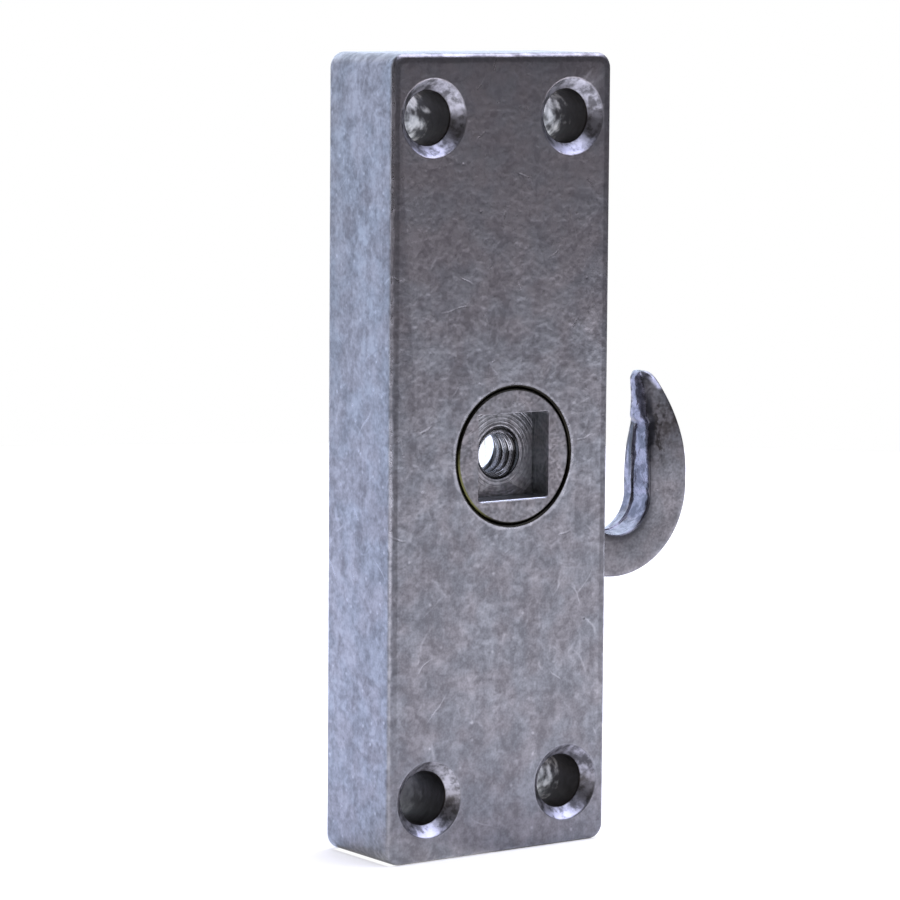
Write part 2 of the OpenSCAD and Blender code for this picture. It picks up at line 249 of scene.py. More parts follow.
def use_group(tree, group, **values):
    inputs = {label.replace("_", " "): value for label, value in values.items()}
    node = tree.nodes.new(group.bl_idname.replace("Tree", "Group"))
    node.node_tree = group
    for label, value in inputs.items():
        feed(node.inputs[label], value)
    return Placed(node)


# Effects that the finishes share

MIDDLE = (0.5, 0.5, 0.5)


def build_cast_mottle():
    group, ins, outs = shader_group(
        "cast_mottle", ["Cloud Size", "Speckle Size", "Cloud Share", "Speckle Share"],
        ["Tone", "Hue", "Height"])
    spot = object_spot(group)
    cloud = noise(spot, Scale=1.0 / ins["Cloud Size"], Detail=2.6, Roughness=0.6, Distortion=0.6)
    speckle = noise(spot, Scale=1.0 / ins["Speckle Size"], Detail=0.6, Roughness=0.5)
    elsewhere = vector_calc("ADD", spot, (0.31, 0.17, 0.23))
    hue = noise(elsewhere, Scale=0.6 / ins["Cloud Size"], Detail=2.0, Roughness=0.5)
    both = (cloud - 0.5) * ins["Cloud Share"] + (speckle - 0.5) * ins["Speckle Share"]
    feed(outs["Tone"], both * 2.0 + 0.5)
    feed(outs["Hue"], hue)
    feed(outs["Height"], speckle + cloud * 1.5)
    return group


def build_short_scratches():
    """Short straight and bent scratches: thin planes through the middles of random cells."""
    group, ins, outs = shader_group(
        "short_scratches", ["Spacing", "Width", "Share", "Bend"], ["Mask"])
    grown = scaled(object_spot(group), 1.0 / ins["Spacing"])
    warp = vector_calc("SUBTRACT", noise(grown, "Color", Scale=0.9, Detail=1.0), MIDDLE)
    where = vector_calc("ADD", grown, scaled(warp, ins["Bend"]))
    cells = place(group, "ShaderNodeTexVoronoi", {"Vector": where, "Scale": 1.0})
    local = vector_calc("SUBTRACT", where, cells["Position"])
    aim = vector_calc("NORMALIZE", vector_calc("SUBTRACT", cells["Color"], MIDDLE))
    line = fade(abs(dot(local, aim)), 0.0, ins["Width"] / ins["Spacing"], 1.0, 0.0)
    ends = fade(vector_calc("LENGTH", local, output=1), 0.2, 0.55, 1.0, 0.0)
    chance = place(group, "ShaderNodeTexWhiteNoise", {"Vector": cells["Position"]},
                   noise_dimensions="3D")["Value"]
    feed(outs["Mask"], line * ends * less_than(chance, ins["Share"]))
    return group


def build_small_pits():
    group, ins, outs = shader_group("small_pits", ["Spacing", "Size", "Share"], ["Mask"])
    cells = place(group, "ShaderNodeTexVoronoi",
                  {"Vector": object_spot(group), "Scale": 1.0 / ins["Spacing"]})
    bowl = fade(cells["Distance"], 0.0, ins["Size"] / ins["Spacing"], 1.0, 0.0)
    chance = place(group, "ShaderNodeSeparateColor", {"Color": cells["Color"]})[0]
    feed(outs["Mask"], bowl * less_than(chance, ins["Share"]))
    return group


def build_edge_wear():
    """A worn line along an edge: full at no distance from it, gone at the width, and broken up."""
    group, ins, outs = shader_group(
        "edge_wear", ["Distance", "Width", "Break Size", "Break Share"], ["Mask"])
    uneven = noise(object_spot(group), Scale=1.0 / ins["Break Size"], Detail=3.0, Roughness=0.6)
    near = 1.0 - ins["Distance"] / ins["Width"]
    loss = (uneven - 0.35) * (ins["Break Share"] * 3.0)
    feed(outs["Mask"], fade(near - loss, 0.0, 0.6))
    return group


def build_turned_rings():
    """Fine rings round an axis along Y, as a tool or a turning screw head leaves them."""
    group, ins, outs = shader_group("turned_rings", ["Radius", "Pitch"], ["Height"])
    rings = place(group, "ShaderNodeTexNoise",
                  {"W": ins["Radius"] / ins["Pitch"], "Scale": 1.0, "Detail": 2.0,
                   "Roughness": 0.6}, noise_dimensions="1D")["Fac"]
    feed(outs["Height"], rings)
    return group


def build_draw_streaks():
    """Faint streaks along Z, as a die leaves on walls drawn out of it."""
    group, ins, outs = shader_group("draw_streaks", ["Size", "Stretch"], ["Tone"])
    squeezed = vector_calc("MULTIPLY", object_spot(group), xyz(group, 1.0, 1.0, ins["Stretch"]))
    feed(outs["Tone"], noise(squeezed, Scale=1.0 / ins["Size"], Detail=3.0, Roughness=0.6,
                             Distortion=0.3))
    return group


cast_mottle = build_cast_mottle()
short_scratches = build_short_scratches()
small_pits = build_small_pits()
edge_wear = build_edge_wear()
turned_rings = build_turned_rings()
draw_streaks = build_draw_streaks()


def mottled(tree, cloud, cloud_share, speckle_share, speckle=0.4):
    return use_group(tree, cast_mottle, Cloud_Size=cloud * MM, Speckle_Size=speckle * MM,
                     Cloud_Share=cloud_share, Speckle_Share=speckle_share)


def scratched(tree, spacing, width, share, bend):
    return use_group(tree, short_scratches, Spacing=spacing * MM, Width=width * MM, Share=share,
                     Bend=bend)["Mask"]


def pitted(tree, spacing, size, share):
    return use_group(tree, small_pits, Spacing=spacing * MM, Size=size * MM, Share=share)["Mask"]


def worn_along(distance, width, break_size, break_share):
    return use_group(distance.tree, edge_wear, Distance=distance, Width=width * MM,
                     Break_Size=break_size * MM, Break_Share=break_share)["Mask"]


def ringed(radius, pitch):
    return use_group(radius.tree, turned_rings, Radius=radius, Pitch=pitch * MM)["Height"]


# Finishes: the skin's darkest and lightest colour, worn metal, and the roughness of both

CASE_ZINC = dict(dark=(0.178, 0.177, 0.186), light=(0.342, 0.345, 0.360), worn=(0.62, 0.62, 0.65),
                 roughness=(0.34, 0.22), scratch_share=0.24)
COVER_ZINC = dict(dark=(0.19, 0.187, 0.20), light=(0.39, 0.385, 0.41), worn=(0.60, 0.60, 0.63),
                  roughness=(0.40, 0.30))
HUB_ZINC = dict(dark=(0.16, 0.157, 0.163), light=(0.34, 0.335, 0.348), worn=(0.55, 0.55, 0.58),
                roughness=(0.40, 0.30), tint=(1.0, 0.985, 0.965), scratch_share=0.7, pit_share=0.15)
HOOK_ZINC = dict(dark=(0.17, 0.168, 0.176), light=(0.33, 0.328, 0.345), worn=(0.52, 0.52, 0.55),
                 roughness=(0.42, 0.30), tint=(0.98, 0.97, 0.95), scratch_share=0.4)

# Colours of single places on the zinc; several of them are painted highlights and painted shade, as
# noted where they are used
WARM_SKIN, COOL_SKIN, WARM_FRONT = (1.02, 0.985, 0.99), (0.985, 1.005, 1.03), (1.045, 0.995, 0.975)
CONE_DARK, CONE_LIGHT = (0.14, 0.138, 0.144), (0.58, 0.575, 0.62)
CONE_BROWN, CONE_HIGHLIGHT = (0.12, 0.10, 0.085), (0.80, 0.80, 0.93)
BORE_SKIN_AND_SHADE, BORE_BACKLIT, BORE_SHADE = (0.070, 0.060, 0.052), (0.78, 0.72, 0.64), (0.034, 0.027, 0.022)
EDGE_SHADE, GRIME_AND_SHADE, GREASE = (0.055, 0.052, 0.056), (0.022, 0.020, 0.014), (0.15, 0.15, 0.055)
SOCKET_TINT, WALL_SHADE = (1.24, 1.25, 1.24), (0.78, 0.82, 0.80)
BROACHED, LIP_HIGHLIGHT = (0.96, 0.96, 0.97), (0.80, 0.82, 0.88)
THREAD_ROOT_SHADE, THREAD_CREST_HIGHLIGHT = (0.05, 0.048, 0.045), (0.80, 0.80, 0.82)
STAIN, BLACK_MARKS, TIP_HIGHLIGHT = (0.085, 0.075, 0.07), (0.045, 0.040, 0.037), (0.66, 0.68, 0.84)
LOW_BEND_DARK, RIDGE_BAND, CHAMFER_SHADE = (0.10, 0.099, 0.104), (0.05, 0.055, 0.06), (0.045, 0.046, 0.054)
INNER_DARK, INNER_LIGHT = (0.155, 0.157, 0.19), (0.325, 0.318, 0.372)


def new_finish(name, metallic=0.0):
    finish = bpy.data.materials.new(name)
    finish.use_nodes = True
    shader = Placed(finish.node_tree.nodes["Principled BSDF"])
    feed(shader.inputs["Metallic"], metallic)
    return finish, finish.node_tree, shader


def object_xyz(tree):
    spot = place(tree, "ShaderNodeSeparateXYZ", {"Vector": object_spot(tree)})
    return spot["X"], spot["Y"], spot["Z"]


def reach(a, b, a0=0.0, b0=0.0):
    """Distance in a plane from a point."""
    return calc("SQRT", calc("POWER", abs(a - a0), 2.0) + calc("POWER", abs(b - b0), 2.0))


def zinc_layers(tone, hue, wear, dark, light, worn, roughness, tint=(1.0, 1.0, 1.0),
                scratch_share=0.5, pit_share=0.12):
    """What the zinc finishes share: mottled colour, scratches, pits and worn edges."""
    tree = tone.tree
    colour = mix_colours(tone, dark, light)
    colour = tinted(colour, mix_colours(fade(hue, 0.36, 0.64), WARM_SKIN, COOL_SKIN))
    colour = tinted(colour, tint)
    scratch = larger(scratched(tree, 2.4, 0.15, scratch_share, 0.6),
                     scratched(tree, 4.6, 0.12, 0.8 * scratch_share, 0.5))
    blotch = mottled(tree, 6.0, 1.0, 0.0)["Tone"]
    scratch = scratch * fade(blotch, 0.25, 0.75, 0.35, 1.0)
    pits = pitted(tree, 2.1, 0.2, pit_share)
    colour = mix_colours(scratch * 0.28, colour, worn)
    colour = mix_colours(wear, colour, worn)
    colour = mix_colours(pits * 0.45, colour, tuple(0.35 * c for c in dark))
    skin, bare = roughness
    rough = fade(tone, 0.1, 0.9, skin + 0.05, skin - 0.05)
    rough = rough - larger(wear, scratch * 0.5) * (skin - bare)
    return colour, rough, scratch, pits


def coat(shader, colour, rough, height, strength, distance):
    """Gives a shader its colour, its roughness and the relief of its skin."""
    feed(shader.inputs["Base Color"], colour)
    feed(shader.inputs["Roughness"], rough)
    relief = {"Strength": strength, "Distance": distance * MM, "Height": height}
    feed(shader.inputs["Normal"], place(height.tree, "ShaderNodeBump", relief)["Normal"])


def coat_zinc(shader, colour, rough, height, scratch, pits, strength=0.6):
    coat(shader, colour, rough, height - scratch * 0.4 - pits * 1.2, strength, 0.03)


def build_case_zinc():
    finish, tree, shader = new_finish("tumbled_zinc_case", 0.92)
    x, y, z = object_xyz(tree)
    u, v = abs(x - CASE_MID * MM), abs(z)  # the same in all four quarters of the case
    mottle = mottled(tree, 2.1, 0.85, 0.45, 0.5)
    streaks = use_group(tree, draw_streaks, Size=1.6 * MM, Stretch=0.05)["Tone"]
    # Short rubbed strokes, lighter than the skin
    rubs = scratched(tree, 1.7, 0.28, 0.75, 1.0)
    tone = mottle["Tone"] + (streaks - 0.5) * 0.8 + rubs * 0.3
    # On the front the mottle is stronger towards the top, and a little darker at the foot
    on_front = fall(y, FRONT + 0.05, FRONT + 0.5)
    contrast = mix_numbers(on_front, 1.0, rise(z, -15, 20, 0.75, 1.9))
    grit = mottled(tree, 0.6, 0.45, 0.55, 0.22)["Tone"]
    tone = (tone - 0.5) * contrast + 0.5 + (grit - 0.5) * 0.55
    tone = tone - on_front * fall(z, -12, 0, 0.17)
    # Nearest outer edge: the second smallest of the distances from the three pairs of faces
    from_side = HALF_W * MM - u
    from_end = HALF_H * MM - v
    from_face = HALF_T * MM - abs(y)
    near = smaller(from_side, from_end)
    edge = larger(near, smaller(larger(from_side, from_end), from_face))
    outer = worn_along(edge, 0.45, 1.6, 0.5) * rise(z, -30, -5, 0.25, 0.85)
    # Countersinks and the hub's bore
    hole = reach(u, v, HOLE_X * MM, HOLE_Z * MM)
    hub = reach(x, z)
    rims = worn_along(abs(hole - SINK_R * MM), 0.22, 1.1, 0.6)
    halo = worn_along(abs(hub - (BORE_R + 0.3) * MM), 0.4, 2.2, 0.8)
    wear = larger(outer, larger(rims * 0.1, halo * 0.45))
    wear = larger(wear, pitted(tree, 1.2, 0.26, 0.22) * 0.4)
    base, rough, scratch, pits = zinc_layers(tone, mottle["Hue"], wear, **CASE_ZINC)
    warm = on_front * rise(z, 0, 25)
    base = mix_colours(warm, base, tinted(base, WARM_FRONT))
    # The holes' cones are cut, brighter and patchy, with brown dirt on the right and a painted
    # highlight, bright and lavender, on their lower part
    spot = object_spot(tree)
    patches = noise(spot, Scale=980.0, Detail=3.0, Roughness=0.62)
    side_x = (u - HOLE_X * MM) * calc("SIGN", x - CASE_MID * MM)
    side_z = (v - HOLE_Z * MM) * calc("SIGN", z)
    # Painted highlight: the lower part of each cone is painted bright, fading towards the right
    cone_highlight = fall(side_z, -3.1, -2.4) * fade(patches, 0.34, 0.52, 0.25, 1.0)
    cone_highlight = cone_highlight * fall(side_x, 0.3, 1.7, 1.0, 0.15)
    brown = rise(side_x, 1.8, 2.6) * rise(side_z, -2.4, -1.8) * fall(side_z, -0.4, 1.2)
    cone = mix_colours(fade(patches, 0.34, 0.66), CONE_DARK, CONE_LIGHT)
    cone = mix_colours(brown * 0.45, cone, CONE_BROWN)
    cone = mix_colours(cone_highlight * 0.85, cone, CONE_HIGHLIGHT)
    # Their bores are painted with light and shade: a dark skin that is partly painted shade,
    # darkest towards the front, and bright patches painted where light from behind falls on the
    # wall, fewer of them at the foot of the case
    blobs = noise(spot, Scale=880.0, Detail=3.0)
    lit = larger(rise(z, -25, 0, 0.06), rise(x, 0, 3, 0.0, 0.8))
    skin = mix_colours(fade(blobs, 0.30, 0.72) * lit, BORE_SKIN_AND_SHADE, BORE_BACKLIT)
    past_front_shade = rise(y + (blobs - 0.5) * (6 * MM), -0.8, 1.8)
    skin = mix_colours(past_front_shade, BORE_SHADE, skin)
    cut = fall(hole, SINK_R - 0.12, SINK_R - 0.02) * fall(y, REAR - 0.2, REAR - 0.1)
    bored = fall(hole, HOLE_R + 0.02, HOLE_R + 0.12)
    base = mix_colours(cut, base, cone)
    base = mix_colours(bored, base, skin)
    rough = mix_numbers(cut, rough, 0.40)
    rough = mix_numbers(bored, rough, 0.45)
    # Painted shade: a dark line along the foot of the front's rounded edge, stronger towards the
    # top
    beyond_side = larger(FACE_CORNER_R * MM - from_side, 0.0)
    beyond_end = larger(FACE_CORNER_R * MM - from_end, 0.0)
    inward = larger(near, FACE_CORNER_R * MM) - reach(beyond_side, beyond_end)
    edge_shade = worn_along(abs(inward - 0.62 * MM), 0.42, 1.8, 0.2)
    edge_shade = edge_shade * (on_front * rise(z, -34, -5, 0.1))
    base = mix_colours(edge_shade * 0.45, base, EDGE_SHADE)
    # Grime and painted shade in the gap round the hub
    base = mix_colours(fall(hub, BORE_R + 0.14, BORE_R + 0.26), base, GRIME_AND_SHADE)
    # Rings that screw heads left round the countersinks, and the cutter's marks in the cones
    around = fall(hole, SINK_R + 0.1, SINK_R + 1.6)
    height = mottle["Height"] + ringed(hole, 0.14) * around * 0.35 + patches * cut * 1.5
    coat_zinc(shader, base, rough, height, scratch, pits)
    return finish


def build_cover_zinc():
    finish, tree, shader = new_finish("tumbled_zinc_cover", 0.92)
    x, _, z = object_xyz(tree)
    mottle = mottled(tree, 3.6, 0.55, 0.45, 0.36)
    wear = worn_along(abs(reach(x, z) - BORE_R * MM), 0.45, 1.4, 0.5)
    base, rough, scratch, pits = zinc_layers(mottle["Tone"], mottle["Hue"], wear, **COVER_ZINC)
    coat_zinc(shader, base, rough, mottle["Height"], scratch, pits)
    return finish


def build_hub_zinc():
    finish, tree, shader = new_finish("worn_zinc_hub", 0.92)
    x, y, z = object_xyz(tree)
    radius = reach(x, z)
    across = larger(abs(x), abs(z))
    mottle = mottled(tree, 1.6, 0.9, 0.7, 0.32)
    wear = worn_along(abs(across - HALF_SOCKET * MM), 0.2, 1.2, 0.6) * 0.1
    base, rough, scratch, pits = zinc_layers(mottle["Tone"], mottle["Hue"], wear, **HUB_ZINC)
    # The front socket's floor is lighter, and its walls are darker with painted shade
    inner = fall(across, HALF_SOCKET - 0.12, HALF_SOCKET - 0.02)
    front = fall(y, -0.3, 0.3)
    base = mix_colours(inner * front, base, SOCKET_TINT, "MULTIPLY")
    wall_shade = rise(across, HALF_SOCKET - 0.25, HALF_SOCKET - 0.05)
    wall_shade = wall_shade * rise(y, FRONT + 0.1, FRONT + 0.6) * front
    base = mix_colours(wall_shade, base, WALL_SHADE, "MULTIPLY")
    # The rear socket's right wall is broached bright, up to its lip
    broached = rise(across, HALF_SOCKET - 0.3, HALF_SOCKET + 0.05)
    broached = broached * rise(y, SOCKET_CEILING + 0.1, SOCKET_CEILING + 0.4)
    broached = broached * (rise(x, 2, 3.5) * fall(y, REAR - 0.12, REAR - 0.04))
    base = mix_colours(broached, base, BROACHED)
    rough = mix_numbers(broached, rough, 0.1)
    # Painted highlight: the lower lip of the front socket is painted bright and made glossier
    lip_highlight = fall(z, 0.02 - HALF_SOCKET, 0.12 - HALF_SOCKET)
    lip_highlight = lip_highlight * rise(z, -HALF_SOCKET - 0.2, -HALF_SOCKET - 0.12)
    lip_highlight = lip_highlight * fall(abs(x), HALF_SOCKET - 0.5, HALF_SOCKET - 0.1)
    lip_highlight = lip_highlight * fall(y, FRONT + 0.16, FRONT + 0.3)
    base = mix_colours(lip_highlight, base, LIP_HIGHLIGHT)
    rough = mix_numbers(lip_highlight, rough, 0.22)
    # Thread: bright cut metal, with painted highlights on the crests and painted shade in the roots
    cut = fall(radius, THREAD_R + 0.03, THREAD_R + 0.08)
    crest = fall(radius, THREAD_R - 0.36, THREAD_R - 0.05)
    base = mix_colours(cut, base, mix_colours(crest, THREAD_ROOT_SHADE, THREAD_CREST_HIGHLIGHT))
    rough = mix_numbers(cut, rough, 0.2)
    # Grime and painted shade in the gap round the hub, greasy on its lower left
    grease = fall(x, -4.5, -2) * fall(z, -1, 1.5)
    gap = rise(radius, HUB_R - 0.24, HUB_R - 0.12)
    base = mix_colours(gap, base, mix_colours(grease, GRIME_AND_SHADE, GREASE))
    # Rings that the drill left on the sockets' floors
    height = mottle["Height"] + ringed(radius, 0.36) * inner * 4.0
    coat_zinc(shader, base, rough, height, scratch, pits)
    return finish


def measured(tree, name):
    """A measure that the claw's mesh keeps at its corners."""
    return place(tree, "ShaderNodeAttribute", attribute_name=name)["Fac"]


def build_hook_zinc():
    finish, tree, shader = new_finish("bright_zinc_hook", 0.95)
    x, y, z = object_xyz(tree)
    inner_face = measured(tree, "on_inner_face")
    inner_edge = measured(tree, "from_inner_edge")
    mottle = mottled(tree, 1.9, 0.85, 0.5, 0.24)
    # Edge wear, strongest low on the bend and at the tip, where it is partly a painted highlight
    wear = worn_along(measured(tree, "from_edge"), 0.7, 1.1, 0.6)
    wear = wear * (fall(z, -6, 1, 0.12) + rise(z, 4, 6, 0.0, 0.9))
    base, rough, scratch, pits = zinc_layers(mottle["Tone"], mottle["Hue"], wear, **HOOK_ZINC)
    # Brown stains on the upper half
    stain = fade(mottled(tree, 1.6, 1.5, 0.5)["Tone"], 0.15, 0.95)
    stain = stain * rise(z, -3, 2) * fall(z, 3.0, 4.4, 0.85, 0.45)
    base = mix_colours(stain, base, STAIN)
    # Nearly black marks along the front's inner half
    marks = fade(mottled(tree, 1.0, 1.5, 0.5)["Tone"], 0.30, 0.85) * fall(inner_edge, 1.0, 2.6)
    marks = marks * rise(z, -3.5, -0.5) * fall(z, 3.0, 4.4, 1.0, 0.2)
    base = mix_colours(marks * 0.85, base, BLACK_MARKS)
    # Painted highlight on the tip's outer shoulder: bright and less metallic
    shoulder = BROW_R * MM - reach(x, z, (CLAW_OUT - BROW_R) * MM, -BROW_DROP * MM)
    tip_highlight = fall(shoulder, 0.55, 0.95) * rise(z, 4.9, 5.3)
    tip_highlight = tip_highlight * rise(shoulder, 0.18, 0.36) * fall(z, 6.1, 6.5)
    feed(shader.inputs["Metallic"], mix_numbers(tip_highlight, 0.95, 0.3))
    base = mix_colours(tip_highlight, base, TIP_HIGHLIGHT)
    # The low part of the bend is darker
    base = mix_colours(fall(z, -9, -5, 0.35), base, LOW_BEND_DARK)
    # The inner face is the smooth skin of the die, with a dark band painted along the rear of its
    # ridge
    bright = fade(mottled(tree, 1.1, 1.3, 0.2)["Tone"], 0.2, 0.8)
    bright = mix_colours(bright, INNER_DARK, INNER_LIGHT)
    ridge_band = rise(y, 0.62, 0.72) * fall(y, 1.15, 1.4) * rise(z, -5, -2) * fall(z, 1.6, 1.9)
    bright = mix_colours(ridge_band * 0.8, bright, RIDGE_BAND)
    base = mix_colours(inner_face * 0.9, base, bright)
    rough = mix_numbers(inner_face, rough, 0.2)
    # Painted shade: a dark line where the front side turns into the inner face, from the tip down
    # to the bend
    line = worn_along(inner_edge, 0.7, 1.2, 0.45) * rise(z, -3, 1, 0.35)
    line = line * fall(z, 3.8, 5.2, 1.0, 0.3)
    base = mix_colours(line * 0.85, base, CHAMFER_SHADE)
    waves = noise(object_spot(tree), Scale=420.0, Detail=1.5, Distortion=0.3)
    height = mottle["Height"] + waves * inner_face * 22.0
    coat_zinc(shader, base, rough, height, scratch, pits, strength=0.45)
    return finish


def build_steel(name, mottle, dark, light, skin, scratches=None):
    finish, tree, shader = new_finish(name, 1.0)
    mottle = mottled(tree, *mottle)
    colour = mix_colours(mottle["Tone"], dark, light)
    if scratches:
        colour = mix_colours(scratched(tree, 1.6, 0.03, 0.5, 0.3) * 0.4, colour, scratches)
    rough = fade(mottle["Tone"], 0.1, 0.9, skin + 0.05, skin - 0.05)
    coat(shader, colour, rough, mottle["Height"], 0.3, 0.01)
    return finish


case_zinc = build_case_zinc()
cover_zinc = build_cover_zinc()
hub_zinc = build_hub_zinc()
hook_zinc = build_hook_zinc()
plated_steel = build_steel("plated_steel", (2.5, 0.45, 0.3, 0.3), (0.36, 0.365, 0.38),
                           (0.52, 0.525, 0.545), 0.29, scratches=(0.66, 0.66, 0.69))
spring_wire = build_steel("spring_wire", (1.5, 0.4, 0.5, 0.2), (0.36, 0.37, 0.40),
                          (0.50, 0.51, 0.54), 0.31)


# Making and finishing meshes

CAD_WELD, OWN_WELD = 2e-7, 1e-7  # corners closer than this, in metres, become one
FLAT, SHARP = math.radians(0.6), math.radians(28)


def link(name, data):
    made = bpy.data.objects.new(name, data)
    bpy.context.scene.collection.objects.link(made)
    return made


def settle(obj):
    """Turns an object with modifiers into a plain mesh object."""
    bpy.context.view_layer.update()
    graph = bpy.context.evaluated_depsgraph_get()
    mesh = bpy.data.meshes.new_from_object(
        obj.evaluated_get(graph), preserve_all_data_layers=True, depsgraph=graph)
    mesh.name = obj.name
    old = obj.data
    obj.modifiers.clear()
    obj.data = mesh
    if old.users == 0:
        bpy.data.meshes.remove(old)
    return obj


def shade_smooth(bm):
    for face in bm.faces:
        face.smooth = True


def write_smooth(bm, mesh):
    """Turns the faces outwards, shades them smooth and writes them to a mesh."""
    bmesh.ops.recalc_face_normals(bm, faces=bm.faces)
    shade_smooth(bm)
    bm.to_mesh(mesh)
    bm.free()
    return mesh


def softened_copy(node, name, widths, finish):
    """A merged copy of a CAD node whose chosen edges are rounded.
    widths gives, for two ends of an edge in millimetres, the width of its rounding."""
    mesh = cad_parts[node].data.copy()
    bm = bmesh.new()
    bm.from_mesh(mesh)
    bmesh.ops.remove_doubles(bm, verts=bm.verts, dist=CAD_WELD)
    bmesh.ops.dissolve_limit(bm, angle_limit=FLAT, verts=bm.verts, edges=bm.edges)
    weights = bm.edges.layers.float.new("bevel_weight_edge")
    chosen = {}
    for edge in bm.edges:
        if len(edge.link_faces) == 2 and edge.calc_face_angle(0) > SHARP:
            ends = [tuple(c / MM for c in corner.co) for corner in edge.verts]
            chosen[edge] = widths(*ends)
    widest = max(chosen.values())
    for edge, width in chosen.items():
        edge[weights] = width / widest
    shade_smooth(bm)
    bm.to_mesh(mesh)
    bm.free()
    mesh.materials.clear()
    mesh.materials.append(finish)
    for polygon in mesh.polygons:
        polygon.material_index = 0
    made = link(name, mesh)
    mesh.set_sharp_from_angle(angle=SHARP)
    rounding = made.modifiers.new("rounding", "BEVEL")
    rounding.limit_method = "WEIGHT"
    rounding.width = widest * MM
    rounding.segments = 3
    rounding.use_clamp_overlap = False
    rounding.harden_normals = True
    rounding.miter_outer = "MITER_SHARP"
    return settle(made)


def give(piece, body, slot, *nodes):
    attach(piece, body)
    if nodes:
        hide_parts(*nodes)


# Case and cover

def at(value, wanted, slack=0.02):
    return abs(value - wanted) < slack


def case_rounding(p, q):
    """Width of the rounding of one edge of the case."""
    def both(test):
        return test(p) and test(q)

    def from_hole(c):
        return math.hypot(abs(c[0] - CASE_MID) - HOLE_X, abs(c[2]) - HOLE_Z)

    def from_outline(c):
        return min(HALF_W - abs(c[0] - CASE_MID), HALF_H - abs(c[2]))

    if both(lambda c: at(c[1], FRONT) and at(from_hole(c), SINK_R)):
        return 0.05
    if both(lambda c: at(from_hole(c), HOLE_R)):
        return 0.1
    if both(lambda c: c[1] < FRONT + 0.3 and math.hypot(c[0], c[2]) < BORE_R + 0.3):
        return 0.02
    if both(lambda c: at(c[0], CASE_RIGHT) and abs(c[1]) < 3):
        return 0.12
    if both(lambda c: at(c[1], REAR) and from_outline(c) > 0.5):
        return 0.08
    return 0.0


def cover_rounding(p, q):
    if at(p[1], REAR) and at(q[1], REAR):
        return 0.06 if math.hypot(p[0], p[2]) < BORE_R + 0.5 else 0.1
    return 0.0


def hub_rounding(p, q):
    for c in (p, q):
        if abs(c[1]) < 1 and math.hypot(c[0], c[2]) > THREAD_R + 0.3:
            return 0.0
    r = [math.hypot(c[0], c[2]) for c in (p, q)]
    if min(r) > HUB_R - 0.3:
        return 0.04 if abs(p[1]) > HALF_T - 0.3 else 0.0
    if max(r) < THREAD_R + 0.1:
        return 0.15
    if at(abs(p[1]), HALF_T) and at(abs(q[1]), HALF_T):
        if p[1] > 0 and p[0] > 3 and q[0] > 3:
            return 0.02
        return 0.14 if p[2] < 0 and q[2] < 0 else 0.07
    if at(p[0], q[0]) and at(p[2], q[2]):
        return 0.3
    return 0.0


case = softened_copy("case", "case_casting", case_rounding, case_zinc)
cover = softened_copy("cover_plate", "cover_casting", cover_rounding, cover_zinc)
hub = softened_copy("hub", "hub_turned", hub_rounding, hub_zinc)
give(case, "latch_case", "case_zinc", "case")
give(cover, "latch_case", "cover_zinc", "cover_plate")
give(hub, "hook_hub", "hub_zinc", "hub")


# Hook: the claw's loft, with finer rings than the source has

def polar(centre, r, a):
    return (centre[0] + r * math.cos(a), centre[1] + r * math.sin(a))


def blend(a, b, t):
    if isinstance(a, tuple):
        return tuple(blend(m, n, t) for m, n in zip(a, b))
    return a + (b - a) * t


def ease(t):
    t = min(1.0, max(0.0, t))
    return t * t * (3 - 2 * t)


THROAT = (CLAW_IN - THROAT_R, -THROAT_DROP)
BACK = (CLAW_OUT - BACK_R, -BACK_DROP)
BROW = (CLAW_OUT - BROW_R, -BROW_DROP)
TIP_ANGLE = math.asin((TIP_TOP - TIP_R + BROW_DROP) / (BROW_R - TIP_R))
TIP = polar(BROW, BROW_R - TIP_R, TIP_ANGLE)
LEAN_Z = -1.5  # where the inner face starts to lean outwards
INNER_EDGE, TIP_EDGE, OUTER_EDGE, OUTER_TIP_EDGE = 0.25, 0.8, 0.35, 0.6
RIDGE, RIDGE_Y = 0.26, 0.55
DOME_Z, DOME_POWER = 5.6, 2.6  # from here up the tip rounds off across its thickness
TIP_SHARE = 0.97  # how far round the tip the last stations go
ROOT_STEPS, BEND_STEPS, CLAW_STEPS, TIP_STEPS = 8, 48, 60, 12


def pad_rise(z):
    return PAD_STEP * ease((z - PAD_Z + PAD_STEP) / (2 * PAD_STEP))


def dome(outer, inner):
    """Share of the half thickness that is left at a station near the tip."""
    height = ((outer[1] + inner[1]) / 2 - DOME_Z) / (TIP_TOP - DOME_Z)
    return math.sqrt(max(0.01, 1 - max(0.0, height) ** DOME_POWER))


def claw_inner_x(z):
    lean = PAD_STEP * ease((z - LEAN_Z) / (PAD_Z - LEAN_Z))
    if z < PAD_Z:
        return CLAW_IN + lean - pad_rise(z)
    run = max(0.0, (z - PAD_Z) / (TIP[1] - PAD_Z))
    return blend(CLAW_IN + PAD_STEP - pad_rise(z), TIP[0] - TIP_R, run * run)


def thinning(z):
    return ease((z + BACK_DROP) / (TIP_TOP + BACK_DROP))


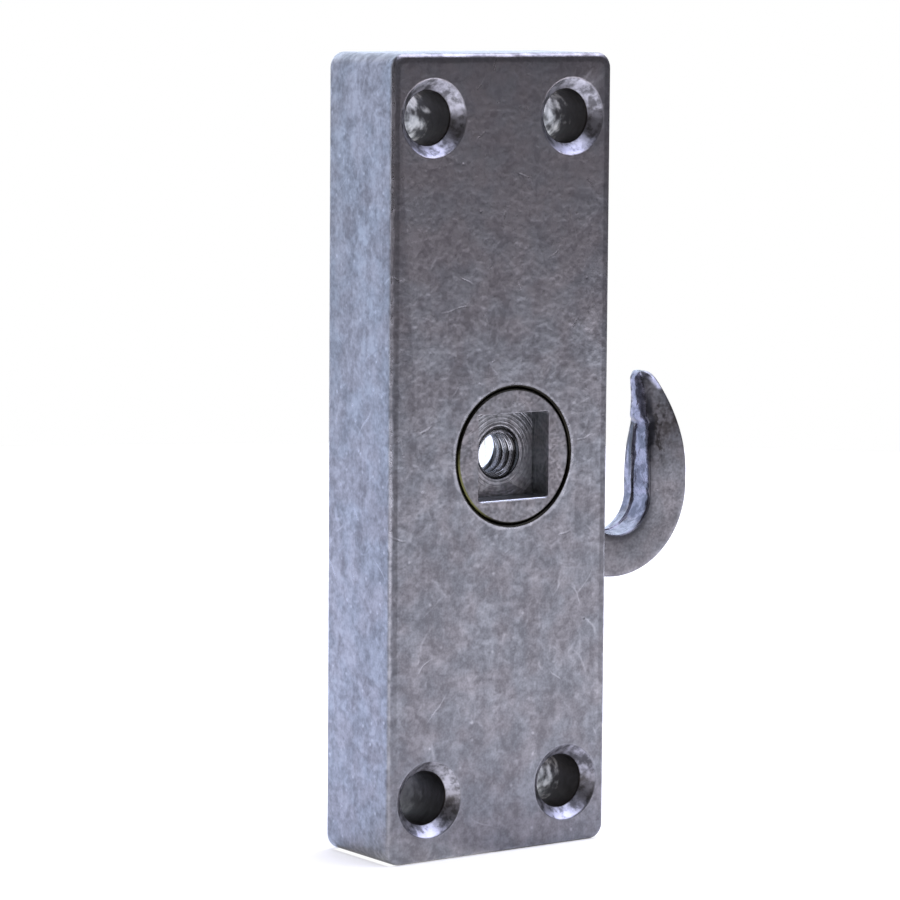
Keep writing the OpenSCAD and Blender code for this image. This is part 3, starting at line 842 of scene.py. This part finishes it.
def claw_stations():
    """Each station is outer point, inner point, half thickness and inner chamfer."""
    reach_back = math.hypot(*BACK)
    low_angle = math.atan2(BACK[1], BACK[0]) - math.acos((EYE_R - BACK_R) / reach_back)
    top_angle = -math.pi / 2 - NECK_SLOPE
    root_r = EYE_R - 0.2
    low_start = polar((0, 0), root_r, low_angle)
    top_end = polar(THROAT, THROAT_R, top_angle)
    line = (-math.cos(NECK_SLOPE), math.sin(NECK_SLOPE))
    along = top_end[0] * line[0] + top_end[1] * line[1]
    run = -along - math.sqrt(along ** 2 - (top_end[0] ** 2 + top_end[1] ** 2 - root_r ** 2))
    top_start = (top_end[0] + run * line[0], top_end[1] + run * line[1])
    stations = []

    def add(outer, inner, z, thinned_to):
        half = blend(2 * CLAW_HALF_T, TIP_T, thinning(thinned_to)) / 2
        stations.append((outer, inner, half * dome(outer, inner),
                         blend(INNER_EDGE, TIP_EDGE, thinning(z))))

    for i in range(ROOT_STEPS):
        t = i / ROOT_STEPS
        stations.append((blend(low_start, polar(BACK, BACK_R, low_angle), t),
                         blend(top_start, top_end, t), CLAW_HALF_T, INNER_EDGE))
    for i in range(BEND_STEPS + 1):
        t = i / BEND_STEPS
        stations.append((polar(BACK, BACK_R, low_angle * (1 - t)),
                         polar(THROAT, THROAT_R, top_angle * (1 - t)), CLAW_HALF_T, INNER_EDGE))
    for i in range(1, CLAW_STEPS + 1):
        t = i / CLAW_STEPS
        z = blend(-THROAT_DROP, TIP[1], t)
        outer, inner = polar(BROW, BROW_R, TIP_ANGLE * t), (claw_inner_x(z), z)
        add(outer, inner, z, z)
    for i in range(1, TIP_STEPS + 1):
        t = i / TIP_STEPS
        a = TIP_SHARE * t * (math.pi - TIP_ANGLE) / 2
        z = TIP[1] + TIP_R * math.sin(TIP_ANGLE + a)
        add(polar(TIP, TIP_R, TIP_ANGLE + a), polar(TIP, TIP_R, math.pi - a), z, TIP_TOP)
    return stations


def cut_corners(ring, keep, times=2):
    """Rounds a ring of points by cutting its corners, apart from the points kept sharp."""
    for _ in range(times):
        cut, kept = [], set()
        count = len(ring)
        for i, point in enumerate(ring):
            if i in keep:
                kept.add(len(cut))
                cut.append(point)
                continue
            before, after = ring[i - 1], ring[(i + 1) % count]
            cut.append(blend(point, before, 0.25))
            cut.append(blend(point, after, 0.25))
        ring, keep = cut, kept
    return ring


def claw_ring(outer, inner, half, chamfer):
    """A station's ring of corners, each with its distances from the outer and inner edges
    and whether it is on the inner face. The narrow rings at the tip keep small chamfers."""
    across = math.dist(outer, inner)
    aim = ((outer[0] - inner[0]) / across, (outer[1] - inner[1]) / across)
    ridge = min(RIDGE, 0.1 * across)
    sharp = 1 - ease((inner[1] - PAD_Z + 0.9) / 0.9) if outer[0] > CLAW_IN else 1.0
    c = min(chamfer, 0.45 * across, 0.6 * half)
    e = min(blend(OUTER_EDGE, OUTER_TIP_EDGE, thinning(outer[1])), 0.35 * across)
    crest = RIDGE_Y * sharp
    step = min(pad_rise(inner[1]), 0.15 * across) if outer[0] > CLAW_IN else 0.0
    half_ring = [(ridge * 0.95, (half - c) * 0.96), (ridge + c * 0.96 + step, half),
                 (across - e, half), (across - 0.3 * e, half - 0.3 * e), (across, half - e),
                 (across, (half - e) * 0.4)]
    foot = blend(0.0, ridge * 0.8, sharp)
    other_half = [(p, -q) for p, q in reversed(half_ring)]
    ring = [(0.0, crest), (foot, crest + 0.2), *half_ring, *other_half, (foot, crest - 0.2)]
    ring = cut_corners(ring, {0})
    back_edge = (across - e / 2, half - e / 2)
    inner_edge = (ridge + c / 2, c / 2 - half)
    return [((inner[0] + aim[0] * p, q, inner[1] + aim[1] * p), math.dist((p, abs(q)), back_edge),
             math.dist((p, q), inner_edge), 1.0 if p < ridge + c * 0.3 else 0.0) for p, q in ring]


def bridge(bm, ring, following):
    """Faces between two rings with the same number of corners."""
    for j in range(len(ring)):
        k = (j + 1) % len(ring)
        bm.faces.new((ring[j], ring[k], following[k], following[j]))


def build_claw_mesh():
    bm = bmesh.new()
    from_edge = bm.verts.layers.float.new("from_edge")
    from_inner_edge = bm.verts.layers.float.new("from_inner_edge")
    on_inner_face = bm.verts.layers.float.new("on_inner_face")
    rings = []
    for station in claw_stations():
        ring = []
        for point, from_back, from_front, inner_face in claw_ring(*station):
            ring.append(bm.verts.new(Vector(point) * MM))
            ring[-1][from_edge] = from_back * MM
            ring[-1][from_inner_edge] = from_front * MM
            ring[-1][on_inner_face] = inner_face
        rings.append(ring)
    for ring, following in zip(rings, rings[1:]):
        bridge(bm, ring, following)
    for ring in (rings[0], rings[-1]):
        middle = bm.verts.new(sum((corner.co for corner in ring), Vector()) / len(ring))
        for j in range(len(ring)):
            bm.faces.new((ring[j], ring[(j + 1) % len(ring)], middle))
    return write_smooth(bm, bpy.data.meshes.new("claw"))


def build_eye_mesh():
    """The hook's eye with its cam flank and the keyed hole, as one closed band."""
    def circle(y, radius, flat=math.inf):
        ring = []
        for i in range(EYE_POINTS):
            degrees = 360 * i / EYE_POINTS
            a, r = math.radians(degrees), radius(degrees)
            x = min(flat, max(-flat, r * math.cos(a)))
            ring.append(bm.verts.new(Vector((x, y, r * math.sin(a))) * MM))
        return ring

    def cam(degrees):
        turn = (degrees - 90 + 180) % 360 - 180
        if CAM_START <= turn <= CAM_END:
            climb = PLUNGER_TRAVEL / HOOK_SWING * (turn - CAM_START)
            return max(EYE_R, EYE_R - CAM_LOW + climb)
        return EYE_R

    bm = bmesh.new()
    from_edge = bm.verts.layers.float.new("from_edge")
    from_inner_edge = bm.verts.layers.float.new("from_inner_edge")
    y, c = EYE_HALF_T, EYE_CHAMFER
    rings = [circle(level, lambda degrees: cam(degrees) - inset)
             for level, inset in ((-y, c), (c - y, 0), (y - c, 0), (y, c))]
    rings += [circle(level, lambda degrees: KEY_R, KEY_FLAT) for level in (y, -y)]
    for ring, following in zip(rings, rings[1:] + rings[:1]):
        bridge(bm, ring, following)
    for corner in bm.verts:
        corner[from_edge] = corner[from_inner_edge] = 1.0
    return write_smooth(bm, bpy.data.meshes.new("eye"))


def build_hook():
    hook = link("hook_claw", build_claw_mesh())
    eye = link("hook_eye_form", build_eye_mesh())
    join = hook.modifiers.new("join", "BOOLEAN")
    join.operation = "UNION"
    join.solver = "EXACT"
    join.object = eye
    settle(hook)
    bpy.data.objects.remove(eye)
    hook.data.materials.clear()
    hook.data.materials.append(hook_zinc)
    hook.data.set_sharp_from_angle(angle=math.radians(32))
    return hook


hook = build_hook()
give(hook, "hook_hub", "hook_zinc", "hook")


# Wound and threaded shapes, by one Geometry Nodes tree

def geometry_tree(name, **inputs):
    tree = bpy.data.node_groups.new(name, "GeometryNodeTree")
    for kind, labels in inputs.items():
        for label in labels:
            tree.interface.new_socket(label, in_out="INPUT", socket_type="NodeSocket" + kind)
    tree.interface.new_socket("Mesh", in_out="OUTPUT", socket_type="NodeSocketGeometry")
    return tree, place(tree, "NodeGroupInput"), place(tree, "NodeGroupOutput").inputs


def transform(geometry, **inputs):
    return place(geometry.tree, "GeometryNodeTransform", {"Geometry": geometry, **inputs})[0]


def in_finish(geometry, finish):
    whole = place(geometry.tree, "GeometryNodeRealizeInstances", {"Geometry": geometry})[0]
    return place(geometry.tree, "GeometryNodeSetMaterial",
                 {"Geometry": whole, "Material": finish})[0]


def build_wound_profile():
    """A profile swept along a coil: a round wire, or the ridge of a thread."""
    tree, ins, outs = geometry_tree(
        "wound_profile", Int=["Profile Points", "Points Per Turn"],
        Float=["Coil Radius", "Turns", "Rise", "Half Depth", "Half Width", "Run Out"],
        Vector=["Place"], Rotation=["Turn"], Material=["Finish"])
    coil = place(tree, "GeometryNodeCurveSpiral",
                 {"Resolution": ins["Points Per Turn"], "Rotations": ins["Turns"],
                  "Start Radius": ins["Coil Radius"], "End Radius": ins["Coil Radius"],
                  "Height": ins["Rise"]})[0]
    upright = place(tree, "GeometryNodeSetCurveNormal", {"Curve": coil}, mode="Z_UP")[0]
    # The profile shrinks over the run-out at both ends
    along = place(tree, "GeometryNodeSplineParameter")["Factor"]
    run_out = larger(ins["Run Out"] / ins["Turns"], 0.0001)
    left = smaller(along, 1.0 - along) / run_out
    scale = larger(smaller(1.0, left + less_than(ins["Run Out"], 0.001)), 0.05)
    ring = place(tree, "GeometryNodeCurvePrimitiveCircle",
                 {"Resolution": ins["Profile Points"], "Radius": 1.0}, mode="RADIUS")[0]
    profile = transform(ring, Scale=xyz(tree, ins["Half Depth"], ins["Half Width"], 1.0))
    swept = place(tree, "GeometryNodeCurveToMesh",
                  {"Curve": upright, "Profile Curve": profile, "Scale": scale,
                   "Fill Caps": True})[0]
    moved = transform(swept, Translation=ins["Place"], Rotation=ins["Turn"])
    feed(outs["Mesh"], in_finish(moved, ins["Finish"]))
    return tree


def grow(name, tree, **values):
    """Runs a Geometry Nodes tree on an empty object and keeps its mesh."""
    made = link(name, bpy.data.meshes.new(name))
    nodes = made.modifiers.new(name, "NODES")
    nodes.node_group = tree
    for item in tree.interface.items_tree:
        label = item.name.replace(" ", "_")
        if item.in_out == "INPUT" and label in values:
            nodes[item.identifier] = values[label]
    return settle(made)


def smooth_by_angle(piece, degrees):
    bm = bmesh.new()
    bm.from_mesh(piece.data)
    bmesh.ops.remove_doubles(bm, verts=bm.verts, dist=OWN_WELD)
    write_smooth(bm, piece.data)
    piece.data.set_sharp_from_angle(angle=math.radians(degrees))


wound_profile = build_wound_profile()
spring = grow("return_spring_wire", wound_profile, Coil_Radius=SPRING_R * MM,
              Turns=float(SPRING_TURNS), Rise=(SPRING_TOP - SPRING_LOW - 2 * WIRE_R) * MM,
              Half_Depth=WIRE_R * MM, Half_Width=WIRE_R * MM, Profile_Points=14,
              Points_Per_Turn=64, Place=(0, 0, (SPRING_LOW + WIRE_R) * MM), Turn=(0, 0, 0),
              Finish=spring_wire)
smooth_by_angle(spring, 40)
give(spring, "latch_case", "spring_steel", "return_spring")
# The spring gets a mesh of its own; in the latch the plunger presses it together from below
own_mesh(spring)

thread = grow("hub_thread", wound_profile, Coil_Radius=(THREAD_R + 0.02) * MM,
              Turns=(SOCKET_CEILING - SOCKET_FLOOR) / THREAD_PITCH,
              Rise=(SOCKET_CEILING - SOCKET_FLOOR) * MM, Half_Depth=THREAD_DEPTH * MM,
              Half_Width=THREAD_PITCH * 0.46 * MM, Profile_Points=4, Points_Per_Turn=72,
              Run_Out=0.2, Place=(0, SOCKET_CEILING * MM, 0), Turn=(math.radians(90), 0, 0),
              Finish=hub_zinc)
smooth_by_angle(thread, 40)
give(thread, "hook_hub", "hub_zinc")


# Cover screws: countersunk heads with a cross recess, and threaded shanks

def build_screw_pair():
    tree, ins, outs = geometry_tree(
        "screw_pair", Vector=["First Place"], Material=["Finish"],
        Float=["Length", "Head Radius", "Head Depth", "Core Radius", "Crest", "Pitch",
               "Recess Width", "Apart", "Second Turn"])
    length, head_r, head_depth = ins["Length"], ins["Head Radius"], ins["Head Depth"]
    core_r, pitch, recess = ins["Core Radius"], ins["Pitch"], ins["Recess Width"]

    def lift(geometry, height):
        return transform(geometry, Translation=xyz(tree, 0.0, 0.0, height))

    def cone(top, bottom, depth, points=48):
        return place(tree, "GeometryNodeMeshCone",
                     {"Vertices": points, "Radius Top": top, "Radius Bottom": bottom,
                      "Depth": depth})["Mesh"]

    def combined(operation, parts, **inputs):
        made = place(tree, "GeometryNodeMeshBoolean", inputs, operation=operation, solver="EXACT")
        for part in parts:
            feed(made.inputs["Mesh 2"], part)
        return made["Mesh"]

    rim_depth = head_depth * 0.1
    point_depth = core_r * 0.4
    far_end = length * -1.0
    shank_low = far_end + point_depth
    head = lift(cone(head_r, core_r, head_depth * 0.93), head_depth * -1.0)
    rim = lift(cone(head_r * 0.965, head_r, rim_depth), rim_depth * -1.0)
    shank = lift(cone(core_r, core_r, shank_low * -1.0 - rim_depth), shank_low)
    point = lift(cone(core_r, core_r * 0.6, point_depth * 1.02), far_end)
    blank = combined("UNION", (head, rim, shank, point))
    # The recess: two crossed slots, one a little shallower so that their floors stay apart
    slot = place(tree, "GeometryNodeMeshCube",
                 {"Size": xyz(tree, head_r * 1.15, recess, head_depth)})["Mesh"]
    crossed = transform(slot, Rotation=(0, 0, math.pi / 2), Scale=(1.0, 1.0, 0.94))
    well_depth = head_depth * 0.9
    well = lift(cone(recess * 1.05, recess * 0.4, well_depth, 24), well_depth * -0.95)
    body = combined("DIFFERENCE", (slot, crossed, well), **{"Mesh 1": blank})
    climb = length - head_depth - point_depth * 2.2
    thread = use_group(tree, wound_profile, Coil_Radius=core_r, Turns=climb / pitch, Rise=climb,
                       Half_Depth=ins["Crest"], Half_Width=pitch * 0.42, Profile_Points=4,
                       Points_Per_Turn=40, Run_Out=0.5,
                       Place=xyz(tree, 0.0, 0.0, shank_low + point_depth * 0.6),
                       Finish=ins["Finish"])
    screw = place(tree, "GeometryNodeJoinGeometry")
    for part in (body, thread["Mesh"]):
        feed(screw.inputs[0], part)
    places = place(tree, "GeometryNodeMeshLine",
                   {"Count": 2, "Start Location": ins["First Place"],
                    "Offset": xyz(tree, 0.0, 0.0, ins["Apart"])})["Mesh"]
    index = place(tree, "GeometryNodeInputIndex")[0]
    facing = xyz(tree, -math.pi / 2, index * ins["Second Turn"], 0.0)
    turned = place(tree, "FunctionNodeEulerToRotation", {"Euler": facing})[0]
    pair = place(tree, "GeometryNodeInstanceOnPoints",
                 {"Points": places, "Instance": screw[0], "Rotation": turned})[0]
    feed(outs["Mesh"], in_finish(pair, ins["Finish"]))
    return tree


screws = grow("screw_pair", build_screw_pair(), Length=SCREW_LENGTH * MM,
              Head_Radius=SCREW_HEAD_R * MM, Head_Depth=SCREW_HEAD_DEPTH * MM,
              Core_Radius=SCREW_CORE_R * MM, Crest=SCREW_CREST * MM, Pitch=SCREW_PITCH * MM,
              Recess_Width=RECESS_WIDTH * MM, First_Place=(CASE_MID * MM, REAR * MM, -SCREW_Z * MM),
              Apart=2 * SCREW_Z * MM, Second_Turn=0.9, Finish=plated_steel)
smooth_by_angle(screws, 35)
give(screws, "latch_case", "plated_steel", "cover_screws")


# Finishes of the CAD pieces that stay

for node in ("front_washer", "rear_washer", "plunger"):
    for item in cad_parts[node].material_slots:
        item.material = plated_steel


# Floor, light and camera

FLOOR_R = 0.34
PHOTO_SIDE, SENSOR_SIDE = 900, 36


def build_floor():
    bpy.ops.mesh.primitive_circle_add(vertices=128, radius=FLOOR_R, fill_type="NGON",
                                      location=(0, 0, -HALF_H * MM))
    floor = bpy.context.object
    floor.name = "floor"
    finish, tree, shader = new_finish("pale_floor")
    feed(shader.inputs["Base Color"], (0.85, 0.85, 0.86))
    feed(shader.inputs["Roughness"], 0.8)
    rays = place(tree, "ShaderNodeLightPath")
    x, y, _ = object_xyz(tree)
    away = reach(x, y)
    heading = vector_calc("NORMALIZE", object_spot(tree))
    # The metal sees a brighter floor than the camera does: in front on the right, behind, and a
    # little on the left in front, close to the latch, which the rounded left edge shows
    bearing = dot(heading, (0.57, -0.82, 0.0))
    across = x * 0.82 + y * 0.57
    ahead = fade(bearing, 0.5, 0.9) * fade(across, -0.06, 0.07, 0.45, 1.2)
    behind = fade(bearing, -0.9, -0.5, 1.0, 0.0)
    left = fade(dot(heading, (-0.81, -0.58, 0.0)), 0.75, 0.95) * fade(away, 0.12, 0.30, 1.0, 0.0)
    seen_by_metal = fade(away, 0.006, 0.075) * ahead * 0.73 + (behind * 0.5 + left * 0.4)
    hue = mix_colours(rays["Is Glossy Ray"] * behind, (1, 1, 1), (0.55, 0.80, 1.35))
    strength = rays["Is Camera Ray"] * 0.36 + rays["Is Glossy Ray"] * seen_by_metal
    glow = place(tree, "ShaderNodeEmission", {"Color": hue, "Strength": strength})[0]
    lit = place(tree, "ShaderNodeAddShader", {0: shader[0], 1: glow})[0]
    # Nothing is drawn of the floor from below or right under the case, so the bottom can be seen
    under = less_than(abs(x - CASE_MID * MM), (HALF_W - 0.4) * MM)
    under = under * less_than(abs(y), (HALF_T - 0.4) * MM)
    hidden = larger(place(tree, "ShaderNodeNewGeometry")["Backfacing"], under)
    clear = place(tree, "ShaderNodeBsdfTransparent")[0]
    seen = place(tree, "ShaderNodeMixShader", {0: hidden, 1: lit, 2: clear})[0]
    feed(tree.nodes["Material Output"].inputs["Surface"], seen)
    floor.data.materials.append(finish)


def build_world():
    world = bpy.data.worlds.new("pale_room")
    bpy.context.scene.world = world
    world.use_nodes = True
    tree = world.node_tree
    tree.nodes.clear()
    aim = place(tree, "ShaderNodeTexCoord")["Generated"]
    rays = place(tree, "ShaderNodeLightPath")
    # White behind the latch, on its left and above, and a dim room round it for polished metal
    behind = fade(dot(aim, (-0.76, 0.63, 0.12)), 0.5, 0.92)
    right = fade(dot(aim, (0.75, -0.65, 0.0)), -0.5, 0.9)
    above = larger(fade(dot(aim, (0.45, 0.84, 0.30)), 0.86, 0.95),
                   fade(dot(aim, (0.22, 0.78, 0.58)), 0.80, 0.93))
    down = place(tree, "ShaderNodeSeparateXYZ", {"Vector": aim})["Z"]
    metal_sees = mix_numbers(behind, mix_numbers(right, 0.02, 0.06), 1.1)
    metal_sees = mix_numbers(above, metal_sees, 1.9)
    metal_sees = larger(metal_sees, fade(down, -0.6, -0.25, 0.5, 0.0))
    strength = mix_numbers(rays["Is Glossy Ray"], 0.75, metal_sees)
    hue = mix_colours(larger(behind, above) * rays["Is Glossy Ray"],
                      (0.97, 0.94, 1.0), (0.78, 0.89, 1.08))
    room = place(tree, "ShaderNodeBackground", {"Color": hue, "Strength": strength})[0]
    white = place(tree, "ShaderNodeBackground", {"Color": (1, 1, 1), "Strength": 1.0})[0]
    seen = larger(rays["Is Camera Ray"], rays["Is Transmission Ray"])
    pick = place(tree, "ShaderNodeMixShader", {0: seen, 1: room, 2: white})[0]
    place(tree, "ShaderNodeOutputWorld", {"Surface": pick})


def softbox(name, aim, far, width, height, radiance, colour):
    """A soft lamp that faces the latch from a direction, of a given brightness."""
    data = bpy.data.lights.new(name, "AREA")
    data.shape = "RECTANGLE"
    data.size, data.size_y = width, height
    data.energy = radiance * math.pi * width * height
    data.color = colour
    lamp = link(name, data)
    toward = Vector(aim).normalized()
    lamp.location = toward * far
    lamp.rotation_euler = toward.to_track_quat("Z", "Y").to_euler()


def build_camera():
    """The camera that was fitted to the photograph, with its lengths in mm and pixels."""
    yaw, pitch, roll = (math.radians(a) for a in (35.213, 6.567, 0.423))
    far, focal_pixels = 386.402, 4119.11
    forward = Vector((math.sin(yaw) * math.cos(pitch), math.cos(yaw) * math.cos(pitch),
                      -math.sin(pitch)))
    right = Vector((math.cos(yaw), -math.sin(yaw), 0))
    up = right.cross(forward)
    right_turned = right * math.cos(roll) + up * math.sin(roll)
    up_turned = up * math.cos(roll) - right * math.sin(roll)
    eye = Vector((-7.427, FRONT, 1.046)) - forward * far
    data = bpy.data.cameras.new("photo_camera")
    data.sensor_width = SENSOR_SIDE
    data.sensor_fit = "HORIZONTAL"
    data.lens = focal_pixels * SENSOR_SIDE / PHOTO_SIDE
    data.clip_start, data.clip_end = 0.01, 10
    camera = link("photo_camera", data)
    turn = Matrix((right_turned, up_turned, -forward)).transposed().to_4x4()
    camera.matrix_world = Matrix.Translation(eye * MM) @ turn
    bpy.context.scene.camera = camera


build_floor()
build_world()
softbox("overhead_softbox", (0.45, -0.12, 0.9), 0.75, 1.0, 1.0, 2.4, (0.74, 0.77, 1.0))
softbox("rear_left_softbox", (-0.60, 0.80, 0.2), 0.7, 0.5, 0.9, 0.5, (0.52, 0.62, 1.0))
build_camera()
bpy.context.scene.view_settings.view_transform = "Standard"
